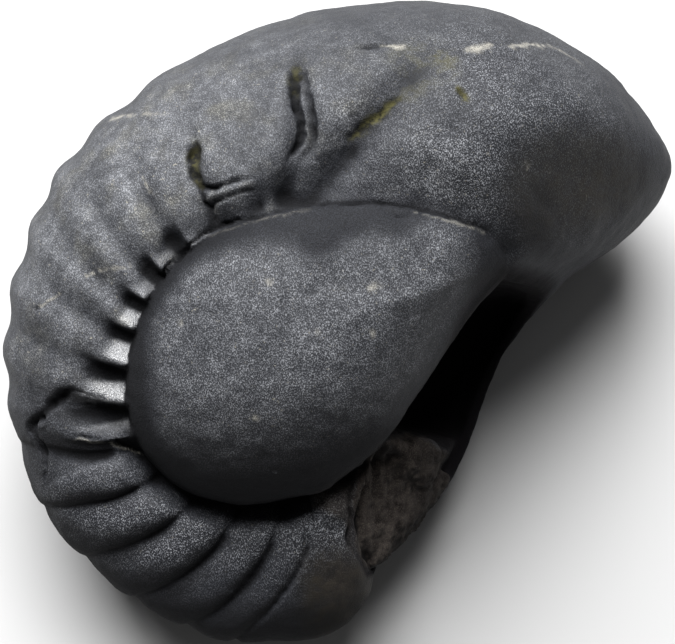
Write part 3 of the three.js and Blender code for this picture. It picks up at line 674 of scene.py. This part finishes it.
# pale scratches and healed cracks: x, y, half width, strength
VEINS = [
    [(18.0, 37.9, 0.25, 0.7), (19.5, 38.3, 0.42, 1), (21.2, 38.8, 0.3, 0.9)],
    [(24.1, 38.8, 0.14, 0.7), (26.0, 39.2, 0.2, 0.9), (28.1, 39.6, 0.2, 0.9), (30.3, 39.6, 0.16, 0.7),
     (32.1, 39.1, 0.12, 0.5), (35.5, 37.2, 0.1, 0.3)],
    [(6.0, 38.5, 0.15, 0.4), (8.4, 38.4, 0.25, 0.9), (9.6, 38.0, 0.15, 0.4)],
    [(-42.3, 2.1, 0.14, 0.9), (-41.5, 2.5, 0.14, 0.8), (-38.8, 4.4, 0.1, 0.7)],
    [(-35.2, 6.3, 0.16, 0.9), (-33.5, 7.1, 0.14, 0.8), (-31.3, 7.5, 0.14, 0.7), (-28.9, 7.8, 0.1, 0.4)],
    [(-32.5, 29.4, 0.2, 0.7), (-30.8, 29.5, 0.2, 0.8), (-28.7, 29.4, 0.14, 0.6), (-26.6, 29.5, 0.12, 0.5),
     (-23.8, 29.2, 0.1, 0.4)],
    [(-27.2, 20.1, 0.12, 0.6), (-26.5, 18.8, 0.16, 0.7), (-25.8, 17.8, 0.1, 0.4)],
    [(-37.5, -16.9, 0.1, 0.3), (-36.0, -16.6, 0.14, 0.5), (-34.8, -17.0, 0.12, 0.4),
     (-33.4, -17.0, 0.1, 0.2)],
    [(-32, -17.3, 0.1, 0.5), (-29.7, -18.2, 0.14, 0.7), (-28, -19, 0.1, 0.4)],
    [(10.5, 15.0, 0.1, 0.2), (13.6, 14.4, 0.1, 0.35), (16.8, 13.6, 0.1, 0.4), (20.4, 12.4, 0.1, 0.3)],
    [(-18.3, 11.8, 0.1, 0.1), (-11.6, 13.9, 0.1, 0.15), (-8.1, 14.7, 0.1, 0.2),
     (-3.7, 15.5, 0.1, 0.1)],
    [(-11.2, -13.0, 0.35, 1), (-10.8, -13.2, 0.2, 1)], [(4.8, -1.9, 0.2, 0.8), (4.6, -1.9, 0.2, 0.8)],
    [(4.6, 4.7, 0.4, 0.7), (5.2, 5.0, 0.3, 0.8)], [(-9.6, 5.6, 0.25, 0.7), (-9.2, 5.6, 0.25, 0.7)],
    [(26.2, 21.9, 0.28, 0.7), (26.4, 21.2, 0.2, 0.6)], [(0.3, 4.6, 0.2, 0.7), (0.6, 4.5, 0.2, 0.7)],
    [(-2.8, -1.3, 0.25, 0.5), (-2.4, -1.4, 0.2, 0.5)], [(-21.6, 0, 0.3, 0.5), (-21.2, 0.3, 0.2, 0.5)],
]


def deposit(x, y, chains):
    """Strength of thin deposits laid along chains."""
    strength = np.zeros(np.shape(x))
    for chain in chains:
        near, off, half_width, amount = beside_chain(x, y, chain, 6.0)
        strength[near] = np.maximum(strength[near], amount * np.exp(-(off / half_width) ** 2))
    return strength


points, normals = coordinates(stone.data), coordinates(stone.data, "normal")
x, y, z = points.T
outward_y, outward_z = normals[:, 1], normals[:, 2]
wander_x, wander_y, _ = wandering(points)
faces_near = smoothstep(outward_z, -0.1, 0.3) * smoothstep(z, -6, 2)
hollow = hollow[[fine_points.find(point)[1] for point in points.tolist()]]

# the dome, and how far each point lies from its edge, and from the seam where the whorl meets it
on_dome = in_outline(x, y, [tuple(corner) for corner in seam_line]) & (faces_near > 0)
on_whorl = ~on_dome
in_dome_bloom = outline_depth(x, y, DOME_BLOOM)
in_uneven_bloom = outline_depth(wander_x, wander_y, DOME_BLOOM)
off_edge, _ = along_chain(x, y, np.vstack([seam_line, seam_line[:1]]))
seam_places = np.arange(0, 17, SEAM_STEP)
seam_chain = np.column_stack([seam_line[:len(seam_places)], seam_places])
off_seam, station = along_chain(x, y, seam_chain)

# the matrix and the crumbling corner beside it, the mouth, the nose's end face and the lowest tip
in_matrix = smoothstep(outline_depth(wander_x, wander_y, MATRIX_OUTLINE), -0.3, 0.7)
in_matrix *= smoothstep(z, -9, -5)
crumbled = 0.7 * smoothstep(outline_depth(wander_x, wander_y, CRUMBLED), -0.4, 0.8)
muddy = np.maximum(crumbled, 0.55 * patch(x, y, (0.6, -38), (3.4, 4.5))) * faces_near
# painted shade: the inside of the mouth, where light hardly reaches, is painted near black
off_mouth = np.array([mouth_skin.find_nearest(point)[3] for point in points.tolist()])
mouth_painted_shade = 1 - smoothstep(off_mouth, 0.3, 1.1 + 2.2 * smoothstep(y, -6, 4))
mouth_painted_shade *= 1 - in_matrix
on_end_face = smoothstep(z - end_face(x, y), -4, 0.5) * (x > 12) * faces_near
tip = patch(x, y, (0.5, -41), (5.5, 7.5), power=4)

# the facets beside the dome, which shine, and the pockets between them, painted dark as their
# shadow
phase = np.interp(station[:, 0], GROOVES, np.arange(len(GROOVES))) % 1
facet_reach = np.interp(y, FACET_REACH[:, 0], FACET_REACH[:, 1])
beside_dome = on_whorl * (x < -14) * faces_near * between(y, -14.5, 11, 1.5)
painted_pocket_shadow = beside_dome * np.exp(-(off_seam / (1.25 * facet_reach)) ** 6)
painted_pocket_shadow *= 1 - between(phase, 0.29, 0.9, 0.05)
facets = beside_dome * np.exp(-(off_seam / facet_reach) ** 6)
facets *= between(phase, 0.34, 0.87, 0.06) * (1 - 0.6 * smoothstep(y, 1, 5))

# bloom: thin on the lower whorl, thicker to the upper left, and laid inside an edge on the dome
whorl_bloom = 0.13 + 0.15 * smoothstep(y, -40, 6)
whorl_bloom += 0.32 * between(x, -60, -12, 16) * smoothstep(y, -22, 14)
dome_bloom = 0.03 + 0.44 * smoothstep(in_uneven_bloom, -1.8, 2.0)
bloom_and_painted_shading = np.where(on_dome, dome_bloom, whorl_bloom)
# it lies on what faces up
bloom_and_painted_shading *= smoothstep(outward_z, -0.1, 0.75) * (1 - 0.6 * on_end_face) * smoothstep(z, -12, 4)
bloom_and_painted_shading += 0.12 * between(y, -34, -20, 4) * on_whorl * smoothstep(outward_z, 0.1, 0.8)
# painted shade: the bloom thins toward the bottom of the whorl and on faces turned down, away from
# the lamp
bloom_and_painted_shading *= (1 - 0.9 * smoothstep(-y, 31, 44)) * (1 - 0.9 * smoothstep(-outward_y, 0.3, 0.9))
# painted light: two places above the dome, on slopes turned from the lamp, get more bloom; painted
# shade: the right side, turned from the lamp, gets less, and the lower left is made darker
bloom_and_painted_shading += 0.5 * between(x, 8, 21, 4) * between(y, 13, 25, 4) * on_whorl * (outward_z > 0.2)
bloom_and_painted_shading += 0.3 * patch(x, y, (1.2, 28), (2.2, 4)) * faces_near
bloom_and_painted_shading *= 1 - 0.75 * smoothstep(x, 34, 46)
bloom_and_painted_shading *= 1 - 0.35 * between(y, -24, -11, 2) * smoothstep(-x, 24, 30)
# bare dark stone, with painted shade in the valleys and at the foot of the nose, thins it
bloom_and_painted_shading *= 1 - deposit(wander_x, wander_y, BARE_AND_SHADE)
# hollows hold less of it, as painted shade, and ridges more, as painted light, and the facets have
# an even coat
bloom_and_painted_shading *= 1 - 0.75 * smoothstep(hollow, 0.03, 0.3) + 0.35 * smoothstep(-hollow, 0.03, 0.25)
bloom_and_painted_shading += (0.6 - bloom_and_painted_shading) * facets
bloom_and_painted_shading *= 1 - 0.8 * tip

# dirt in the cracks and along the seam, and painted shade in the hollows, in the gap round the
# lower left of the dome (there partly dirt), on faces turned down in the lower half, and on the low
# parts under the dome's overhang
dirt_and_painted_shade = np.max([
    np.clip(crack_relief(wander_x, wander_y), 0, 1) * faces_near,
    smoothstep(hollow, 0.15, 0.6),
    np.exp(-(off_seam / np.where(on_dome, 1.6, 0.7)) ** 2) * smoothstep(-x - y, 14, 30) * faces_near,
    0.9 * np.exp(-(off_seam / 0.4) ** 2) * between(x, -9, 20, 2) * smoothstep(y, 9, 12) * faces_near,
    0.9 * smoothstep(-outward_y, 0.15, 0.7) * smoothstep(-y, 4, 18),
    0.85 * (1 - smoothstep(z, 1.5, 8.5)) * smoothstep(-y, 14, 26) * smoothstep(-x, 0, 8) * faces_near,
], axis=0)
# it is kept off the facets; painted shadow fills their pockets, the ring inside the dome's edge is
# dark patina, and painted shade darkens the dome's lower edge, the valleys by the rim, the bottom of
# the whorl, the foot of the nose and the far side of the matrix
dirt_and_painted_shade = np.max([
    dirt_and_painted_shade * (1 - facets),
    painted_pocket_shadow,
    on_dome * (0.45 + 0.4 * smoothstep(-x, 8, 20)) * (1 - smoothstep(in_dome_bloom, -2.5, 1)),
    on_dome * 0.9 * np.exp(-(off_edge / 2.8) ** 2) * smoothstep(-y, 8, 18),
    deposit(wander_x, wander_y, RIM_VALLEY_SHADE) * faces_near,
    0.7 * smoothstep(-y, 37, 46) * (x < -6),
    0.6 * patch(x, y, (27, 13.5), (4.5, 4)) * faces_near,
    0.6 * in_matrix * smoothstep(x - 0.25 * y, 15, 20),
], axis=0)

surface = {
    "bloom_and_painted_shading": bloom_and_painted_shading,
    "dirt_and_painted_shade": dirt_and_painted_shade,
    "brown": np.maximum(0.9 * on_end_face, 1.1 * tip),
    "polish": facets,
    "matrix": np.maximum(in_matrix, muddy),
    "mouth": mouth_painted_shade,
    "dusty": on_whorl * between(x, -60, 4, 16) * smoothstep(y, -30, 10),
    "grainy": on_whorl * np.maximum(smoothstep(-y, 16, 28), 0.6 * smoothstep(x, 6, 24)),
    "stain": deposit(wander_x, wander_y, STAINS) * faces_near,
    "vein": deposit(wander_x, wander_y, VEINS) * faces_near,
}
for name, values in surface.items():
    attribute = stone.data.attributes.new(name, "FLOAT", "POINT")
    attribute.data.foreach_set("value", values.astype(np.float32))

# Black shale, ground smooth by water and gravel: a dark slate grey with a fine speckle where the
# dust catches in its grain, dull all over but on the facets, which have kept a soft shine.
stone_material = bpy.data.materials.new("water-polished black shale")
stone_material.use_nodes = True
tree = stone_material.node_tree
shader = tree.nodes["Principled BSDF"]


def linear(hex_colour):
    """An sRGB hex colour as linear red, green, blue and alpha."""
    channels = [int(hex_colour[i:i + 2], 16) / 255 for i in (0, 2, 4)]
    return (*((c / 12.92 if c <= 0.04045 else ((c + 0.055) / 1.055) ** 2.4) for c in channels), 1)


def add(kind, inputs, out=0, **settings):
    """Adds a node with its settings, and its inputs as values or as other nodes' outputs."""
    made = tree.nodes.new("ShaderNode" + kind)
    for name, value in settings.items():
        setattr(made, name, value)
    keyed = inputs.items() if isinstance(inputs, dict) else enumerate(inputs)
    for key, value in keyed:
        if isinstance(value, bpy.types.NodeSocket):
            tree.links.new(value, made.inputs[key])
        else:
            made.inputs[key].default_value = value
    return made.outputs[out]


# settings that many of the nodes share
SOFT = {"interpolation_type": "SMOOTHSTEP"}
TIMES = {"operation": "MULTIPLY"}
MOST = {"operation": "MAXIMUM"}
COLOURS = {"data_type": "RGBA", "out": 2}

layer = {name: add("Attribute", {}, out=2, attribute_name=name) for name in surface}
where = add("TexCoord", {}, out=3)
millimetres = add("Mapping", {"Vector": where, "Rotation": (-LEAN, 0, 0), "Scale": (1000, 1000, 1000)})
stretched = add("Mapping", {"Vector": millimetres, "Scale": (1, 0.65, 1)})

# clouds of dust 9 and 6 mm wide, mottling of 1.8 mm and flecks of 0.55 mm. The real grain of shale
# is under 0.06 mm, too fine to show, so it is drawn at 0.15 mm, a little longer up the stone.
cloud = add("TexNoise", {"Vector": millimetres, "Scale": 1 / 9, "Detail": 6, "Roughness": 0.62})
warm = add("TexNoise", {"Vector": millimetres, "Scale": 1 / 6, "Detail": 5, "Roughness": 0.6})
mottle = add("TexNoise", {"Vector": millimetres, "Scale": 1 / 1.8, "Detail": 5, "Roughness": 0.65})
fleck = add("TexNoise", {"Vector": millimetres, "Scale": 1 / 0.55, "Detail": 2, "Roughness": 0.6})
grain = add("TexNoise", {"Vector": stretched, "Scale": 1 / 0.15, "Detail": 1, "Roughness": 0.6})

# the bloom, with its painted light and shade, is a film of dust that breaks up over the clouds,
# the mottling and the grain
film_and_painted_shading = add("Math", [layer["bloom_and_painted_shading"], add("MapRange", [cloud, 0.25, 0.75, 0.26, 0.5], **SOFT)], **TIMES)
film_and_painted_shading = add("Math", [film_and_painted_shading, add("MapRange", [mottle, 0.3, 0.7, 0.6, 1.4], **SOFT)], **TIMES)
even_grain = add("MapRange", [grain, 0.46, 0.72, 0.35, 3.0], **SOFT)
harsh_grain = add("MapRange", [grain, 0.5, 0.72, 0.1, 6.0], **SOFT)
speckle = add("Mix", {0: layer["grainy"], 2: even_grain, 3: harsh_grain})
speckle = add("Mix", {0: add("Math", [layer["dusty"], 0.35], **TIMES), 2: speckle, 3: 1.0})
film_and_painted_shading = add("Math", [film_and_painted_shading, speckle], **TIMES)

# the dust is a cool grey, warmer in clouds on the upper left
warmth = add("Math", [layer["dusty"], add("MapRange", [warm, 0.48, 0.72, 0.0, 0.7], **SOFT)], **TIMES)
dust = add("Mix", {0: warmth, 6: linear("a2a4a9"), 7: linear("a7a495")}, **COLOURS)

# the matrix is brown mud with paler sand in it
mud_share = add("MapRange", [mottle, 0.3, 0.7], **SOFT)
mud = add("Mix", {0: mud_share, 6: linear("231e1d"), 7: linear("4b4541")}, **COLOURS)
sand_share = add("Math", [add("MapRange", [grain, 0.5, 0.7], **SOFT), 0.3], **TIMES)
mud = add("Mix", {0: sand_share, 6: mud, 7: linear("7a7266")}, **COLOURS)

# how strongly each thing covers the shale
patina = add("Math", [layer["brown"], add("MapRange", [mottle, 0.35, 0.65, 0.45, 0.95], **SOFT)], **TIMES)
flecks = add("Math", [add("MapRange", [fleck, 0.66, 0.74], **SOFT), layer["bloom_and_painted_shading"]], **TIMES)
flecks = add("Math", [flecks, 0.75], **TIMES)
# grime: dirt, with painted shade in the hollows, the pockets and under the overhangs
grime_and_painted_shade = add("Math", [layer["dirt_and_painted_shade"], 0.85], **TIMES)
iron = add("Math", [layer["stain"], add("MapRange", [mottle, 0.42, 0.6, 0.1, 1.0], **SOFT)], **TIMES)
calcite = add("Math", [layer["vein"], add("MapRange", [grain, 0.3, 0.6, 0.3, 0.85], **SOFT)], **TIMES)

shale_share = add("MapRange", [grain, 0.3, 0.7], **SOFT)
colour = add("Mix", {0: shale_share, 6: linear("17181c"), 7: linear("303238")}, **COLOURS)
for share, over in [
    (film_and_painted_shading, dust),
    (patina, linear("302b20")),
    (flecks, linear("b3aea0")),
    (layer["matrix"], mud),
    # dirt and painted shade: near black
    (grime_and_painted_shade, linear("0c0c0e")),
    (iron, linear("585534")),
    (calcite, linear("b9b5aa")),
    # painted shade: the inside of the mouth, near black
    (layer["mouth"], linear("0d0a0e")),
]:
    colour = add("Mix", {0: share, 6: colour, 7: over}, **COLOURS)
tree.links.new(colour, shader.inputs["Base Color"])

# the facets are smoother than the rest, and mud, dirt, the painted shade and the broken mouth are
# dull
worn_rough = add("MapRange", [grain, 0.3, 0.7, 0.52, 0.68], **SOFT)
facet_rough = add("MapRange", [mottle, 0.35, 0.65, 0.34, 0.5], **SOFT)
rough = add("Mix", {0: layer["polish"], 2: worn_rough, 3: facet_rough})
dull = add("Math", [add("Math", [layer["matrix"], layer["mouth"]], **MOST), layer["dirt_and_painted_shade"]], **MOST)
tree.links.new(add("Mix", {0: dull, 2: rough, 3: 0.95}), shader.inputs["Roughness"])

# the film of dust takes most of the shine off all but the facets
DUSTED_SHINE = 0.14
shader.inputs["Specular IOR Level"].default_value = DUSTED_SHINE
shine = add("Mix", {0: layer["polish"], 2: DUSTED_SHINE, 3: 1.0})
tree.links.new(shine, shader.inputs["Specular IOR Level"])
shader.inputs["IOR"].default_value = 1.7

# relief of the grain and the mottling: heights in metres
fine = add("Bump", {"Height": grain, "Strength": 0.9, "Distance": 0.00012})
coarse = add("Bump", {"Height": mottle, "Strength": 0.35, "Distance": 0.0005, "Normal": fine})
tree.links.new(coarse, shader.inputs["Normal"])

# ==== Resting place ===============================================================================
# The stone lies on its base facet with the coil's face leaned back. Its lean, its place, centred
# over the floor's middle, and the step to metres all go into its mesh.

REST_OFFSET = (-0.681, -1.0249, 25.3336)
stone.data.transform(Matrix.Scale(0.001, 4) @ Matrix.Translation(REST_OFFSET) @ lean)
bpy.ops.object.shade_smooth()
stone.data.materials.clear()
stone.data.materials.append(stone_material)

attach(stone, "root")
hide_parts("shaligram_stone")

# ==== Floor, light and camera =====================================================================
# A sheet of pale paper under the stone, one large soft lamp above its upper edge, a faint even
# light from all round, and a camera that looks straight at the coil's face. Lengths are in metres.

bpy.ops.mesh.primitive_plane_add(size=6, location=(0, 0, 0))
floor = bpy.context.object
floor.name = "studio floor"

# Uncoated pale grey paper, pressed flat: one even tone with a very soft sheen.
floor_material = bpy.data.materials.new("pale paper")
floor_material.use_nodes = True
paper = floor_material.node_tree.nodes["Principled BSDF"]
paper.inputs["Base Color"].default_value = linear("c4c4c4")
floor.data.materials.append(floor_material)

WINDOW_SIZE = 1.3
WINDOW_WATTS = 74
WINDOW_PLACE = (-0.22, 1.25, 1.0)
lamp_data = bpy.data.lights.new("window", "AREA")
lamp_data.size = WINDOW_SIZE
lamp_data.energy = WINDOW_WATTS
lamp = bpy.data.objects.new("window", lamp_data)
bpy.context.scene.collection.objects.link(lamp)
middle = Matrix.Translation(Vector(REST_OFFSET) * 0.001)
lamp.location = middle @ lean @ Vector(WINDOW_PLACE)
lamp.rotation_euler = (middle.translation - lamp.location).to_track_quat("-Z", "Y").to_euler()

ROOM_LIGHT = 0.08
world = bpy.data.worlds.new("studio")
bpy.context.scene.world = world
world.use_nodes = True
room = world.node_tree.nodes["Background"]
room.inputs["Color"].default_value = linear("ffffff")
room.inputs["Strength"].default_value = ROOM_LIGHT
bpy.context.scene.view_settings.view_transform = "Standard"

# the width the camera sees at the stone, its distance, and its sensor in millimetres
FIELD = 0.099495
DISTANCE = 0.36
SENSOR = 36
camera_data = bpy.data.cameras.new("camera")
camera_data.sensor_width = SENSOR
camera_data.lens = SENSOR * DISTANCE / FIELD
camera = bpy.data.objects.new("camera", camera_data)
bpy.context.scene.collection.objects.link(camera)
camera.matrix_world = middle @ lean @ Matrix.Translation((0, 0, DISTANCE))
bpy.context.scene.camera = camera
